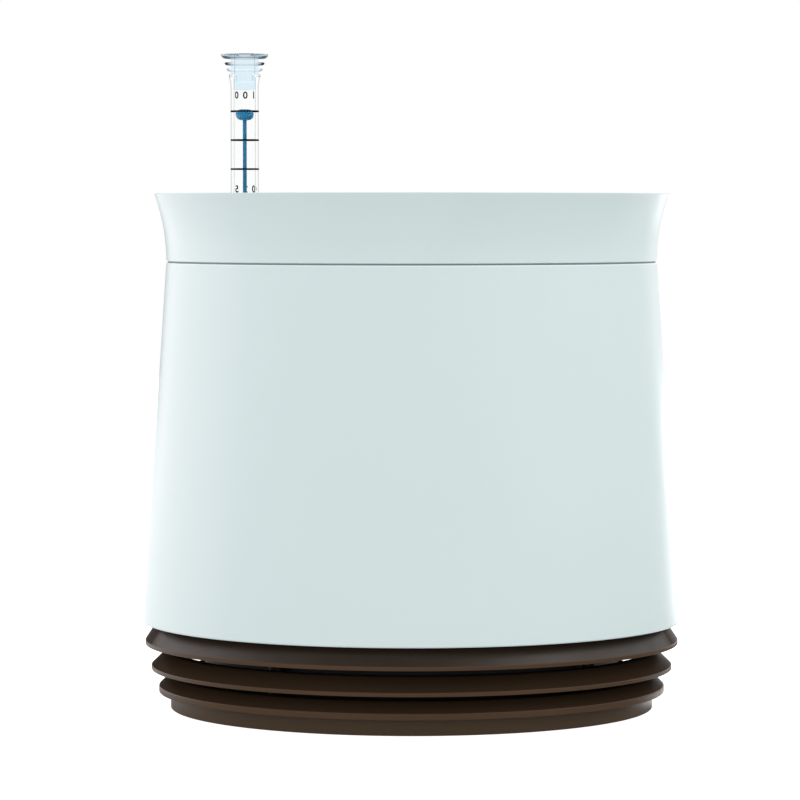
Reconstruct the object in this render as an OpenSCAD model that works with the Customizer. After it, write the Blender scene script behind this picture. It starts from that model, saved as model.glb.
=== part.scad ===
// Self-watering plant pot with an air-drawing base.
// Millimetres, +Z up, origin at the centre of the foot ring on the ground, front towards -Y.

/* [Pot] */
// Height of the rim above the ground
pot_h = 255; // [246:1:290]
// Outer diameter at the seam between collar and shell
seam_d = 243.4; // [238:0.2:247]
// Flare of the rim beyond the seam
rim_flare = 5.9; // [4:0.1:9]
// Height of the collar above the seam
collar_h = 33.3; // [24:0.1:44]
// Shadow gap at the seam
seam_gap = 0.8; // [0.4:0.1:1.4]
// Outer diameter at the shell's lower edge
shell_base_d = 266.8; // [258:0.2:274]
// Wall of shell and collar
skin = 2.6; // [2:0.1:3.2]
// Depth of the hanger ring inside the shell
hanger_depth = 13.5; // [9:0.5:24]
// Radial clearance of the hanger ring in the shell
hanger_clear = 0.4; // [0.3:0.05:0.6]

/* [Base] */
// Wall of the foot ring
foot_wall = 3.2; // [2.4:0.1:4]
// Height of the tray's floor underside above the ground
floor_lift = 3; // [2:0.1:4]
// Thickness of the tray's floor
floor_t = 2.5; // [2:0.1:3.5]
// Distance of the foot ring inside the lowest blade's lip
foot_set_in = 5.9; // [4:0.1:8]
// Distance of the lowest blade's lip inside the middle blade's
lower_set_in = 3.7; // [2:0.1:5]
// Distance of the middle blade's lip inside the upper blade's
middle_set_in = 3; // [2:0.1:4.5]
// Distance of the upper blade's lip inside the shell's edge
upper_set_in = 0.9; // [0.2:0.1:3]
// Height of the lowest blade's lip above the ground
lower_lip_z = 7.7; // [6.8:0.1:9]
// Thickness of the lowest blade's lip
lower_lip_t = 3.3; // [2:0.1:4]
// Height of the middle blade's lip above the lowest
middle_pitch = 11.7; // [10.5:0.1:14]
// Height of the upper blade's lip above the middle
upper_pitch = 12.5; // [11:0.1:15]
// Height of the shell's edge above the upper blade's lip
shell_pitch = 10.9; // [8:0.1:14]
// Thickness of the two upper blades
blade_t = 1.9; // [1.4:0.1:2.4]
// Rise of a blade for each millimetre inwards
blade_slope = 0.95; // [0.85:0.01:1.05]
// Width of the middle blade from lip to inner edge
middle_blade_w = 7.5; // [6:0.1:9]
// Width of the upper blade's sloped face
upper_face_w = 6.1; // [5:0.1:7]
// Width of the upper blade's top ring
ring_w = 11.6; // [10:0.1:13]
// Width of the air passage between tank and top ring
neck_w = 13; // [11:0.1:18]
// Number of posts that carry the blades
post_count = 4; // [3:1:6]
// Turn of the first post from the front, towards the left
post_turn = 37.2; // [30:0.1:45]
// Diameter of a post's spacer tube
spacer_d = 6.4; // [5.8:0.1:7]

/* [Screws] */
// Diameter of a screw's shank
screw_d = 3; // [2.5:0.1:3.4]
// Diameter of a screw's head
head_d = 5.6; // [5:0.1:6]
// Height of a screw's head
head_h = 2; // [1.6:0.1:2.2]
// Depth of thread in its boss
thread_depth = 6; // [4:0.5:8]

/* [Inner pot] */
// Height of the water tank
tank_h = 86.5; // [70:0.5:110]
// Wall of the water tank
tank_wall = 1.8; // [1.4:0.1:2.4]
// Depth that the inner pot reaches into the tank
nest_depth = 8; // [7:0.5:12]
// Wall of the inner pot
liner_wall = 2.2; // [1.8:0.1:3]
// Number of air slots in one tier
slot_count = 44; // [24:2:52]
// Width of an air slot
slot_w = 3.2; // [2:0.1:3.6]
// Number of tiers of air slots
slot_tiers = 3; // [2:1:4]
// Thickness of the separator
separator_t = 2.4; // [2:0.1:4]
// Diameter of a drain hole in the separator
drain_d = 3.6; // [2.5:0.1:3.8]
// Diameter of the wick basket below its flange
basket_d = 61.6; // [50:0.2:70]
// Wall of the wick basket
basket_wall = 1.6; // [1.2:0.1:2.2]

/* [Water gauge] */
// Turn of the gauge behind the pot's left side
gauge_turn = 13.45; // [0:0.05:40]
// Outer diameter of the gauge tube
tube_d = 14; // [12:0.1:15]
// Bore of the gauge tube
tube_bore = 11; // [9:0.1:11.6]
// Height of the tube's mouth above the rim
gauge_rise = 58.8; // [45:0.1:70]
// Length of the tube's flared mouth
mouth_h = 5.8; // [4:0.1:8]
// Growth of the tube's radius at its mouth
mouth_flare = 1.05; // [0.6:0.05:1.6]
// Diameter of the stopper's top flange
stopper_d = 23.8; // [21.6:0.1:26]
// Height of the stopper above the tube's mouth
stopper_h = 11.4; // [10.5:0.1:14]
// Depth of the stopper's plug in the tube
plug_depth = 6.9; // [4:0.1:10]
// Distance from the tube's mouth down to the full mark
full_mark_drop = 17; // [16:0.1:22]
// Diameter of the float
float_d = 9.6; // [7:0.1:9.8]
// Length of the float
float_len = 38; // [26:0.5:50]
// Fall of the float from full to empty
float_fall = 46; // [30:0.5:60]
// Diameter of the pointer stem
stem_d = 2; // [1.4:0.1:2.6]
// Width of the pointer's head
pointer_w = 9.2; // [7:0.1:9.4]
// Height of the pointer's head
pointer_h = 5.5; // [3.5:0.1:6.5]

/* [Hidden] */
$fn = 96;

// Small fits and overlaps used throughout
cut = 1;
snug = 0.05;
screw_clear = 0.2;
loose = 0.3;

// Tones of the moulded, plated and clear pieces
brown = [0.19, 0.15, 0.12];
shell_mint = [0.81, 0.87, 0.87];
collar_mint = [0.79, 0.85, 0.85];
liner_pale = [0.83, 0.87, 0.87];
tank_slate = [0.12, 0.13, 0.14];
zinc = [0.62, 0.63, 0.65];
clear = [0.88, 0.93, 0.92, 0.4];
stopper_blue = [0.80, 0.91, 0.98];
pointer_blue = [0.18, 0.43, 0.58];
float_white = [0.93, 0.93, 0.90];

// Cross recess in a screw's head, as shares of the head
recess_w = 0.8;
recess_span = 0.68;
recess_depth = 0.6;

// Base radii and heights, each blade set from its neighbour
shell_base_r = shell_base_d / 2;
upper_lip_r = shell_base_r - upper_set_in;
middle_lip_r = upper_lip_r - middle_set_in;
lower_lip_r = middle_lip_r - lower_set_in;
foot_r = lower_lip_r - foot_set_in;
foot_in_r = foot_r - foot_wall;
floor_z = floor_lift + floor_t;
middle_lip_z = lower_lip_z + middle_pitch;
upper_lip_z = middle_lip_z + upper_pitch;
shell_base_z = upper_lip_z + shell_pitch;
lower_rise = foot_set_in * blade_slope;
lower_rim_z = lower_lip_z + lower_lip_t + lower_rise;
tray_wall_h = 2;
tray_wall_r = foot_r - foot_wall / 2;
tray_wall_z = floor_z + tray_wall_h;
skirt_out_r = tray_wall_r - snug;
skirt_t = 1.2;
skirt_lift = 0.5;
middle_in_r = middle_lip_r - middle_blade_w;
middle_top_z = middle_lip_z + blade_t + middle_blade_w * blade_slope;
middle_flange_w = 5;
ring_tuck = 0.2;
ring_t = 2.2;
ring_z = shell_base_z + ring_tuck;
face_r = upper_lip_r - upper_face_w;
face_wall = 1.5;
ring_lap = 1.2;
ring_out_r = face_r + ring_lap;
ring_in_r = ring_out_r - ring_w;

// Posts and brackets just outside the tank
tank_r = ring_in_r - neck_w;
tank_in_r = tank_r - tank_wall;
post_gap = 1.1;
post_r = tank_r + post_gap + spacer_d / 2;
boss_rise = 1.8;
boss_z = floor_z + boss_rise;
bracket_t = 2.2;
bracket_end = 0.5;
middle_bracket_z = middle_top_z - blade_t - bracket_t;
upper_bracket_z = ring_z - bracket_t;
thread_end = 0.5;
boss_cap = 1;
rib_count = 8;
rib_t = 2;
rib_lift = 0.6;
rib_in_r = 30;
hub_t = 3;
counterbore_d = head_d + 2 * loose;

// Shell, collar and seam
seam_r = seam_d / 2;
seam_z = pot_h - collar_h;
shell_top_z = seam_z - seam_gap;
rebate_w = skin / 2;
flange_t = 2.4;
flange_z = ring_z + ring_t;
flange_top_z = flange_z + flange_t;
flange_set_out = 2.5;
flange_in_r = ring_in_r + flange_set_out;
shell_rib_w = 1.6;
shell_rib_h = 3;
shell_boss_d = 8;
shell_boss_cap = 2.4;
shell_boss_h = thread_depth + shell_boss_cap;
shell_screw_share = 0.42;
shell_screw_r = ring_in_r + ring_w * shell_screw_share;
ledge_z = seam_z - hanger_depth;
hanger_r = seam_r - skin - hanger_clear;
hanger_in_r = hanger_r - skin;
flare_r = (rim_flare * rim_flare + collar_h * collar_h) / (2 * rim_flare);

// Inner pot between the hanger ring and the tank's ledge
tank_z = floor_z;
tank_floor_t = 2.2;
tank_floor_z = tank_z + tank_floor_t;
tank_top_z = tank_z + tank_h;
tank_foot_chamfer = 2;
liner_z = tank_top_z - nest_depth;
liner_flange_z = ledge_z + skin;
liner_flange_t = 2.2;
liner_flange_r = hanger_in_r - loose;
liner_seat_w = 5.9;
liner_top_r = hanger_in_r - liner_seat_w;
liner_gap = 1;
liner_base_r = tank_in_r - liner_gap;
liner_ledge_t = 2.2;
tank_ledge_w = 3.6;
tank_ledge_t = 1.2;
bead_clear = 0.2;
bead_r = tank_in_r - bead_clear;
bead_h = 1.4;
bead_z = liner_z + liner_ledge_t;
catch_bite = 0.15;
catch_r = bead_r - catch_bite;
catch_play = 0.8;
catch_z = bead_z + bead_h + catch_play;
catch_h = 1.2;
separator_seat_w = 2.4;
separator_seat_r = liner_base_r - liner_wall - separator_seat_w;
separator_z = liner_z + liner_ledge_t;
separator_top_z = separator_z + separator_t;
separator_r = separator_seat_r + separator_seat_w - loose;
slot_bridge = 9;
slot_margin = 8;
slot_low_z = tank_top_z + slot_margin;
slot_high_z = liner_flange_z - slot_margin;
slot_pitch_z = (slot_high_z - slot_low_z + slot_bridge) / slot_tiers;
slot_len = slot_pitch_z - slot_bridge;

// Wick basket in the separator's middle
basket_r = basket_d / 2;
basket_flange_w = 3.4;
basket_flange_t = 1.8;
basket_lift = 2.5;
basket_z = tank_floor_z + basket_lift;
basket_taper = 8;
basket_slots = 12;
basket_slot_w = 2.6;
basket_slot_margin = 8;
drain_ring_gap = 11.5;
drain_pitch = 13;
drain_edge = 8;

// Gauge standing in its guide
guide_wall = 1.9;
guide_r = tube_d / 2 + loose + guide_wall;
guide_gap = 0.44;
guide_h = 36;
guide_tail = 3;
guide_flange_w = 1.6;
guide_flange_t = 1.8;
gauge_orbit = separator_seat_r - guide_r - guide_gap;
gauge_x = -gauge_orbit * cos(gauge_turn);
gauge_y = gauge_orbit * sin(gauge_turn);
gauge_foot_t = 2.8;
gauge_foot_spigot = 2;
tube_z = tank_floor_z + gauge_foot_t;
mouth_z = pot_h + gauge_rise;
mouth_r = tube_d / 2 + mouth_flare;
mouth_curve_r = (mouth_flare * mouth_flare + mouth_h * mouth_h) / (2 * mouth_flare);
mouth_turn = asin(mouth_h / mouth_curve_r);
mouth_steps = 10;
inlet_w = 2.4;
inlet_len = 32;
inlet_rise = 4;
stopper_ribs = 3;
stopper_rib_t = 0.9;
stopper_flange_t = 2.5;
stopper_pitch = (stopper_h - stopper_flange_t) / stopper_ribs;
stopper_hollow_d = tube_bore - 2 * loose;
stopper_bore_step = 2;
stopper_floor_t = 4;
stopper_rib_step = 1.02;
pointer_over_mark = 0.5;
pointer_top_z = mouth_z - full_mark_drop + pointer_over_mark;
pointer_z = pointer_top_z - pointer_h;
float_stop_gap = 0.5;
float_z = tube_z + gauge_foot_spigot + float_stop_gap + float_fall;
float_round = 2.4;
stem_socket = 6;
pointer_socket = 2;

// Inner radius of the shell's wall at a height
function shell_in_r(z) = shell_base_r - skin
    + (seam_r - shell_base_r) * (z - shell_base_z) / (shell_top_z - shell_base_z);

// Outer radius of the inner pot at a height
function liner_r(z) = liner_base_r
    + (liner_top_r - liner_base_r) * (z - liner_z) / (liner_flange_z - liner_z);

// Radius of the wick basket's outside at a height
function basket_wall_r(z) = basket_r - basket_taper * (separator_top_z - z) / (separator_top_z - basket_z);

// Copies its children at each post, on +X turned from the front
module at_posts() {
    for (i = [0 : post_count - 1])
        rotate(-90 - post_turn + i * 360 / post_count)
            children();
}

module at_gauge() {
    translate([gauge_x, gauge_y, 0])
        children();
}

// Pan-head screw pointing up, its head's seat at z = 0
module screw(length) {
    difference() {
        union() {
            translate([0, 0, -head_h])
                cylinder(d = head_d, h = head_h);
            cylinder(d = screw_d, h = length);
        }
        for (a = [0, 90])
            rotate(a)
                translate([-head_d * recess_span / 2, -recess_w / 2, -head_h - cut])
                    cube([head_d * recess_span, recess_w, cut + head_h * recess_depth]);
    }
}

// Flat bracket from a post's axis out to a radius
module bracket(z, reach_r) {
    translate([post_r, 0, z])
        cylinder(d = spacer_d, h = bracket_t);
    translate([post_r, -spacer_d / 2, z])
        cube([reach_r - post_r, spacer_d, bracket_t]);
}

// Tray: foot ring, floor, bosses for the posts and ribs below
module base_tray() {
    color(brown)
        difference() {
            union() {
                rotate_extrude()
                    polygon([[0, floor_lift], [foot_in_r, floor_lift], [foot_in_r, 0], [foot_r, 0],
                        [foot_r, tray_wall_z], [tray_wall_r, tray_wall_z], [tray_wall_r, floor_z],
                        [0, floor_z]]);
                at_posts()
                    translate([post_r, 0, floor_lift])
                        cylinder(d = spacer_d, h = boss_z - floor_lift);
                floor_ribs();
            }
            at_posts()
                translate([post_r, 0, 0]) {
                    translate([0, 0, -cut])
                        cylinder(d = counterbore_d, h = floor_z + cut);
                    cylinder(d = screw_d + 2 * screw_clear, h = boss_z + cut);
                }
        }
}

// Lowest ring blade, standing on the tray's wall with a skirt inside it
module lower_louvre() {
    color(brown)
        rotate_extrude()
            polygon([[foot_r, tray_wall_z], [foot_r, lower_lip_z + lower_rise], [lower_lip_r, lower_lip_z],
                [lower_lip_r, lower_lip_z + lower_lip_t], [foot_r, lower_rim_z],
                [skirt_out_r - skirt_t, lower_rim_z], [skirt_out_r - skirt_t, floor_z + skirt_lift],
                [skirt_out_r, floor_z + skirt_lift], [skirt_out_r, tray_wall_z]]);
}

// Stiffening ribs and hub under the tray's floor
module floor_ribs() {
    for (i = [0 : rib_count - 1])
        rotate((i + 0.5) * 360 / rib_count)
            translate([rib_in_r, -rib_t / 2, rib_lift])
                cube([foot_in_r + foot_wall / 2 - rib_in_r, rib_t, floor_lift - rib_lift + floor_t / 2]);
    rotate_extrude()
        translate([rib_in_r - hub_t / 2, rib_lift])
            square([hub_t, floor_lift - rib_lift + floor_t / 2]);
}

// Middle ring blade with a flat flange on the brackets
module middle_louvre() {
    low_z = middle_top_z - blade_t;
    color(brown)
        rotate_extrude()
            polygon([[middle_lip_r, middle_lip_z], [middle_lip_r, middle_lip_z + blade_t],
                [middle_in_r, middle_top_z], [middle_in_r - middle_flange_w, middle_top_z],
                [middle_in_r - middle_flange_w, low_z], [middle_in_r, low_z]]);
}

// Upper ring blade with its top ring under the shell's ring
module upper_louvre() {
    color(brown)
        difference() {
            rotate_extrude()
                polygon([[upper_lip_r, upper_lip_z], [upper_lip_r, upper_lip_z + blade_t], [face_r, ring_z],
                    [ring_out_r, ring_z], [ring_out_r, flange_z], [ring_in_r, flange_z],
                    [ring_in_r, ring_z], [face_r - face_wall, ring_z]]);
            at_posts()
                translate([shell_screw_r, 0, ring_z - cut])
                    cylinder(d = screw_d + 2 * screw_clear, h = ring_t + 2 * cut);
        }
}

// Brackets clamped between the spacers, under the middle blade's flange
module middle_brackets() {
    color(brown)
        at_posts()
            difference() {
                bracket(middle_bracket_z, middle_in_r - bracket_end);
                translate([post_r, 0, middle_bracket_z - cut])
                    cylinder(d = screw_d + 2 * screw_clear, h = bracket_t + 2 * cut);
            }
}

// Brackets on the upper spacers, with a threaded boss and a hole for a shell screw
module upper_brackets() {
    thread_z = flange_z + thread_depth + thread_end;
    color(brown)
        at_posts()
            difference() {
                union() {
                    bracket(upper_bracket_z, shell_screw_r);
                    translate([shell_screw_r, 0, upper_bracket_z])
                        cylinder(d = spacer_d, h = bracket_t);
                    translate([post_r, 0, upper_bracket_z])
                        cylinder(d = spacer_d, h = thread_z + boss_cap - upper_bracket_z);
                }
                translate([post_r, 0, upper_bracket_z - cut])
                    cylinder(d = screw_d + 2 * snug, h = cut + thread_z - upper_bracket_z);
                translate([shell_screw_r, 0, upper_bracket_z - cut])
                    cylinder(d = screw_d + 2 * screw_clear, h = bracket_t + 2 * cut);
            }
}

// Spacer tubes between two heights, one at each post
module spacers(low_z, high_z) {
    color(brown)
        at_posts()
            translate([post_r, 0, low_z])
                difference() {
                    cylinder(d = spacer_d, h = high_z - low_z);
                    translate([0, 0, -cut])
                        cylinder(d = screw_d + 2 * screw_clear, h = high_z - low_z + 2 * cut);
                }
}

module lower_spacers() {
    spacers(boss_z, middle_bracket_z);
}

module upper_spacers() {
    spacers(middle_bracket_z + bracket_t, upper_bracket_z);
}

// Long screws from under the tray up into the upper brackets
module base_screws() {
    color(zinc)
        at_posts()
            translate([post_r, 0, floor_z])
                screw(flange_z + thread_depth - floor_z);
}

// Short screws from under the upper brackets into the shell's ring
module shell_screws() {
    color(zinc)
        at_posts()
            translate([shell_screw_r, 0, upper_bracket_z])
                screw(flange_top_z + thread_depth - upper_bracket_z);
}

// Ring bonded into the shell's lower end, with a boss for each shell screw
module shell_ring() {
    color(brown)
        difference() {
            union() {
                rotate_extrude()
                    polygon([[flange_in_r, flange_z], [shell_in_r(flange_z) - snug, flange_z],
                        [shell_in_r(flange_top_z) - snug, flange_top_z], [flange_in_r, flange_top_z]]);
                at_posts()
                    translate([shell_screw_r, 0, flange_z])
                        cylinder(d = shell_boss_d, h = flange_t + shell_boss_h);
            }
            at_posts()
                translate([shell_screw_r, 0, flange_z - cut])
                    cylinder(d = screw_d + 2 * snug, h = cut + flange_t + thread_depth + thread_end);
        }
}

// Tapered shell with a rib on its ring and a stepped top edge that leaves the shadow gap
module outer_shell() {
    rib_top_z = flange_top_z + shell_rib_h;
    color(shell_mint)
        rotate_extrude()
            polygon([[shell_base_r, shell_base_z], [seam_r, shell_top_z], [seam_r - rebate_w, shell_top_z],
                [seam_r - rebate_w, seam_z], [seam_r - skin, seam_z], [shell_in_r(rib_top_z), rib_top_z],
                [shell_in_r(flange_top_z) - shell_rib_w, flange_top_z],
                [shell_in_r(flange_top_z), flange_top_z], [shell_base_r - skin, shell_base_z]]);
}

// Half section of the collar: flared wall up to a flat rim, and a flat shoulder
module collar_section() {
    translate([seam_r + flare_r, seam_z])
        intersection() {
            difference() {
                circle(flare_r + skin, $fn = 360);
                circle(flare_r, $fn = 360);
            }
            translate([-flare_r - skin, 0])
                square([flare_r + skin, collar_h]);
        }
    translate([hanger_in_r, seam_z])
        square([seam_r - hanger_in_r, skin]);
}

module rim_collar() {
    color(collar_mint)
        rotate_extrude()
            collar_section();
}

// Ring under the collar's shoulder that drops into the shell and carries the inner pot
module hanger_ring() {
    color(collar_mint)
        rotate_extrude()
            polygon([[hanger_in_r, seam_z], [hanger_r, seam_z], [hanger_r, ledge_z],
                [liner_top_r + loose, ledge_z], [liner_top_r + loose, liner_flange_z],
                [hanger_in_r, liner_flange_z]]);
}

// Slotted wall of the inner pot, with a bead that snaps into the tank
module inner_pot() {
    color(liner_pale)
        difference() {
            rotate_extrude() {
                polygon([[liner_r(separator_z), separator_z], [liner_top_r, liner_flange_z],
                    [liner_top_r - liner_wall, liner_flange_z],
                    [liner_r(separator_z) - liner_wall, separator_z]]);
                translate([liner_base_r - liner_wall / 2, bead_z])
                    square([bead_r - liner_base_r + liner_wall / 2, bead_h]);
            }
            air_slots();
        }
}

// Tiers of upright slots, each tier turned by half a slot from the one below
module air_slots() {
    reach_in = min(liner_base_r, liner_top_r) - liner_wall - cut;
    reach_out = max(liner_base_r, liner_top_r) + cut;
    for (tier = [0 : slot_tiers - 1])
        for (i = [0 : slot_count - 1])
            rotate((i + 0.25 + 0.5 * (tier % 2)) * 360 / slot_count)
                translate([reach_in, -slot_w / 2, slot_low_z + tier * slot_pitch_z])
                    cube([reach_out - reach_in, slot_w, slot_len]);
}

// Flange on the inner pot's wall that hangs on the hanger ring
module pot_flange() {
    color(liner_pale)
        rotate_extrude()
            translate([liner_top_r - liner_wall, liner_flange_z])
                square([liner_flange_r - liner_top_r + liner_wall, liner_flange_t]);
}

// Ledge under the inner pot's wall that carries the separator and rests in the tank
module separator_ledge() {
    color(liner_pale)
        rotate_extrude()
            polygon([[separator_seat_r, liner_z], [liner_base_r, liner_z],
                [liner_r(separator_z), separator_z], [separator_seat_r, separator_z]]);
}

// Water tank with a ledge and a snap catch for the inner pot
module water_tank() {
    shelf_z = liner_z - tank_ledge_t;
    color(tank_slate)
        rotate_extrude() {
            polygon([[0, tank_z], [tank_r - tank_foot_chamfer, tank_z],
                [tank_r, tank_z + tank_foot_chamfer], [tank_r, tank_top_z], [tank_in_r, tank_top_z],
                [tank_in_r, liner_z], [tank_in_r - tank_ledge_w, liner_z],
                [tank_in_r - tank_ledge_w, shelf_z], [tank_in_r, shelf_z - tank_ledge_w],
                [tank_in_r, tank_floor_z], [0, tank_floor_z]]);
            translate([catch_r, catch_z])
                square([tank_in_r + tank_wall / 2 - catch_r, catch_h]);
        }
}

// Perforated floor between soil and water
module separator() {
    color(liner_pale)
        difference() {
            translate([0, 0, separator_z])
                cylinder(r = separator_r, h = separator_t);
            translate([0, 0, separator_z - cut])
                cylinder(r = basket_r + snug, h = separator_t + 2 * cut);
            at_gauge()
                translate([0, 0, separator_z - cut])
                    cylinder(r = guide_r + snug, h = separator_t + 2 * cut);
            drain_holes();
        }
}

// Rings of drain holes that keep clear of basket and gauge
module drain_holes() {
    first_r = basket_r + basket_flange_w + drain_edge;
    rings = floor((separator_r - drain_edge - first_r) / drain_ring_gap);
    keep_off = guide_r + guide_flange_w + drain_d;
    for (ring = [0 : rings]) {
        ring_r = first_r + ring * drain_ring_gap;
        count = floor(2 * PI * ring_r / drain_pitch);
        for (i = [0 : count - 1]) {
            turn = i * 360 / count;
            off = norm([ring_r * cos(turn) - gauge_x, ring_r * sin(turn) - gauge_y]);
            if (off > keep_off)
                rotate(turn)
                    translate([ring_r, 0, separator_z - cut])
                        cylinder(d = drain_d, h = separator_t + 2 * cut);
        }
    }
}

// Slotted cup that dips into the water
module wick_basket() {
    flange_r = basket_r + basket_flange_w;
    top_z = separator_top_z + basket_flange_t;
    slot_z = basket_z + basket_slot_margin;
    slot_h = separator_z - basket_slot_margin - slot_z;
    color(brown)
        difference() {
            rotate_extrude()
                polygon([[0, basket_z], [basket_wall_r(basket_z), basket_z],
                    [basket_wall_r(separator_z), separator_z], [basket_wall_r(separator_z), separator_top_z],
                    [flange_r, separator_top_z], [flange_r, top_z], [basket_r - basket_wall, top_z],
                    [basket_wall_r(basket_z) - basket_wall, basket_z + basket_wall],
                    [0, basket_z + basket_wall]]);
            for (i = [0 : basket_slots / 2 - 1])
                rotate((i + 0.5) * 360 / basket_slots)
                    translate([-basket_r, -basket_slot_w / 2, slot_z])
                        cube([2 * basket_r, basket_slot_w, slot_h]);
        }
}

// Sleeve in the separator that keeps the gauge upright
module gauge_guide() {
    bore_r = tube_d / 2 + loose;
    color(liner_pale)
        at_gauge()
            rotate_extrude()
                polygon([[bore_r, separator_z - guide_tail], [guide_r, separator_z - guide_tail],
                    [guide_r, separator_top_z], [guide_r + guide_flange_w, separator_top_z],
                    [guide_r + guide_flange_w, separator_top_z + guide_flange_t],
                    [guide_r, separator_top_z + guide_flange_t],
                    [guide_r, separator_top_z + guide_h], [bore_r, separator_top_z + guide_h]]);
}

// Clear tube with a flared mouth and water inlets near its foot
module gauge_tube() {
    tube_r = tube_d / 2;
    mouth = [for (i = [0 : mouth_steps])
        let (turn = mouth_turn * i / mouth_steps)
        [tube_r + mouth_curve_r * (1 - cos(turn)), mouth_z - mouth_h + mouth_curve_r * sin(turn)]];
    color(clear)
        at_gauge()
            difference() {
                rotate_extrude()
                    polygon(concat([[tube_bore / 2, tube_z], [tube_r, tube_z]], mouth,
                        [[tube_bore / 2, mouth_z]]));
                for (a = [0, 90])
                    rotate(a)
                        translate([-tube_d, -inlet_w / 2, tube_z + inlet_rise])
                            cube([2 * tube_d, inlet_w, inlet_len]);
            }
}

// End plug on which the gauge stands
module gauge_foot() {
    color(stopper_blue)
        at_gauge()
            translate([0, 0, tank_floor_z]) {
                cylinder(d = tube_d, h = gauge_foot_t);
                cylinder(d = tube_bore - 2 * snug, h = gauge_foot_t + gauge_foot_spigot);
            }
}

// Ribbed stopper with a hollow grip and a plug in the tube
module gauge_cap() {
    plug_d = tube_bore - 2 * snug;
    top_z = mouth_z + stopper_h;
    color(stopper_blue)
        at_gauge()
            difference() {
                union() {
                    translate([0, 0, mouth_z - plug_depth])
                        cylinder(d = plug_d, h = plug_depth + stopper_h / 2);
                    translate([0, 0, mouth_z])
                        cylinder(d = tube_d, h = stopper_h);
                    for (i = [0 : stopper_ribs - 1])
                        translate([0, 0, mouth_z + i * stopper_pitch])
                            cylinder(r = mouth_r + i * stopper_rib_step, h = stopper_rib_t);
                    translate([0, 0, top_z - stopper_flange_t])
                        cylinder(d = stopper_d, h = stopper_flange_t);
                }
                translate([0, 0, mouth_z - plug_depth + stopper_floor_t])
                    cylinder(d = stopper_hollow_d - stopper_bore_step, h = plug_depth + stopper_h);
                translate([0, 0, mouth_z + stopper_rib_t])
                    cylinder(d = stopper_hollow_d, h = stopper_h);
            }
}

// Round-ended float with a socket for the stem
module gauge_float() {
    float_r = float_d / 2;
    float_top_z = float_z + float_len;
    color(float_white)
        at_gauge()
            difference() {
                rotate_extrude() {
                    translate([0, float_z + float_round])
                        square([float_r, float_len - 2 * float_round]);
                    translate([0, float_z])
                        square([float_r - float_round, float_len]);
                    for (z = [float_z + float_round, float_top_z - float_round])
                        intersection() {
                            translate([float_r - float_round, z])
                                circle(float_round, $fn = 48);
                            translate([0, float_z])
                                square([float_r, float_len]);
                        }
                }
                translate([0, 0, float_top_z - stem_socket])
                    cylinder(d = stem_d + 2 * snug, h = stem_socket + cut);
            }
}

// Pointer stem between float and head
module gauge_stem() {
    low_z = float_z + float_len - stem_socket;
    color(pointer_blue)
        at_gauge()
            translate([0, 0, low_z])
                cylinder(d = stem_d, h = pointer_z + pointer_socket - low_z);
}

// Smooth round-edged bead that marks the water level
module indicator_head() {
    edge_r = pointer_h / 2;
    core_r = pointer_w / 2 - edge_r;
    color(pointer_blue)
        at_gauge()
            translate([0, 0, pointer_z])
                difference() {
                    rotate_extrude() {
                        square([core_r, pointer_h]);
                        intersection() {
                            translate([core_r, edge_r])
                                circle(edge_r, $fn = 48);
                            square([pointer_w, pointer_h]);
                        }
                    }
                    translate([0, 0, -cut])
                        cylinder(d = stem_d + 2 * snug, h = cut + pointer_socket);
                }
}

base_tray();
lower_louvre();
middle_louvre();
upper_louvre();
middle_brackets();
upper_brackets();
lower_spacers();
upper_spacers();
base_screws();
shell_screws();
shell_ring();
outer_shell();
rim_collar();
hanger_ring();
inner_pot();
pot_flange();
separator_ledge();
water_tank();
separator();
wick_basket();
gauge_guide();
gauge_tube();
gauge_foot();
gauge_cap();
gauge_float();
gauge_stem();
indicator_head();
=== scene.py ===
import math

import bmesh
import bpy
from mathutils import Matrix, Vector


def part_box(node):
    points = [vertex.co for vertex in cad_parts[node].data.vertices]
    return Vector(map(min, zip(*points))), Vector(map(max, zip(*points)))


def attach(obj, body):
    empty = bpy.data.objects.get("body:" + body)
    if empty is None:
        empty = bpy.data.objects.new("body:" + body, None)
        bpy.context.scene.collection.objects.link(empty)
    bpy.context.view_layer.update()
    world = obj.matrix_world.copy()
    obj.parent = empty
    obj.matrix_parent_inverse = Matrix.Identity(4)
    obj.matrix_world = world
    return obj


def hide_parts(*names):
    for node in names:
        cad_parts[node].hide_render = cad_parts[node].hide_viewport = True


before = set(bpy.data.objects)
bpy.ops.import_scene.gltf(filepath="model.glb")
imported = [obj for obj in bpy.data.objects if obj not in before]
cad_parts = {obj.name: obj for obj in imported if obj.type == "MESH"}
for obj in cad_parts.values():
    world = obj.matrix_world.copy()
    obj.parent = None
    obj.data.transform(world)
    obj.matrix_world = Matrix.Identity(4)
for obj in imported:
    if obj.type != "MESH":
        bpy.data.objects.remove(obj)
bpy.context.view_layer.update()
scene = bpy.context.scene

# Units and fineness
MM = 0.001
POT_STEPS = 240
HUB_STEPS = GAUGE_STEPS = 96
BASKET_STEPS = 144
STEM_STEPS = 24
FLARE_STEPS, MOUTH_STEPS = 20, 10
ROUND_STEPS = 4
SHARP_TURN = math.radians(50)
TOUCHING = 1e-7

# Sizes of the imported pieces, in millimetres

def extent(node, axis_x=0.0):
    """Outer radius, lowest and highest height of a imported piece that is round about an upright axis."""
    low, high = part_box(node)
    return [round(value / MM, 2) for value in (high.x - axis_x, low.z, high.z)]


tube_low, tube_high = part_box("gauge_tube")
GAUGE_AXIS = Vector(((tube_low.x + tube_high.x) / 2, (tube_low.y + tube_high.y) / 2, 0))

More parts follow.
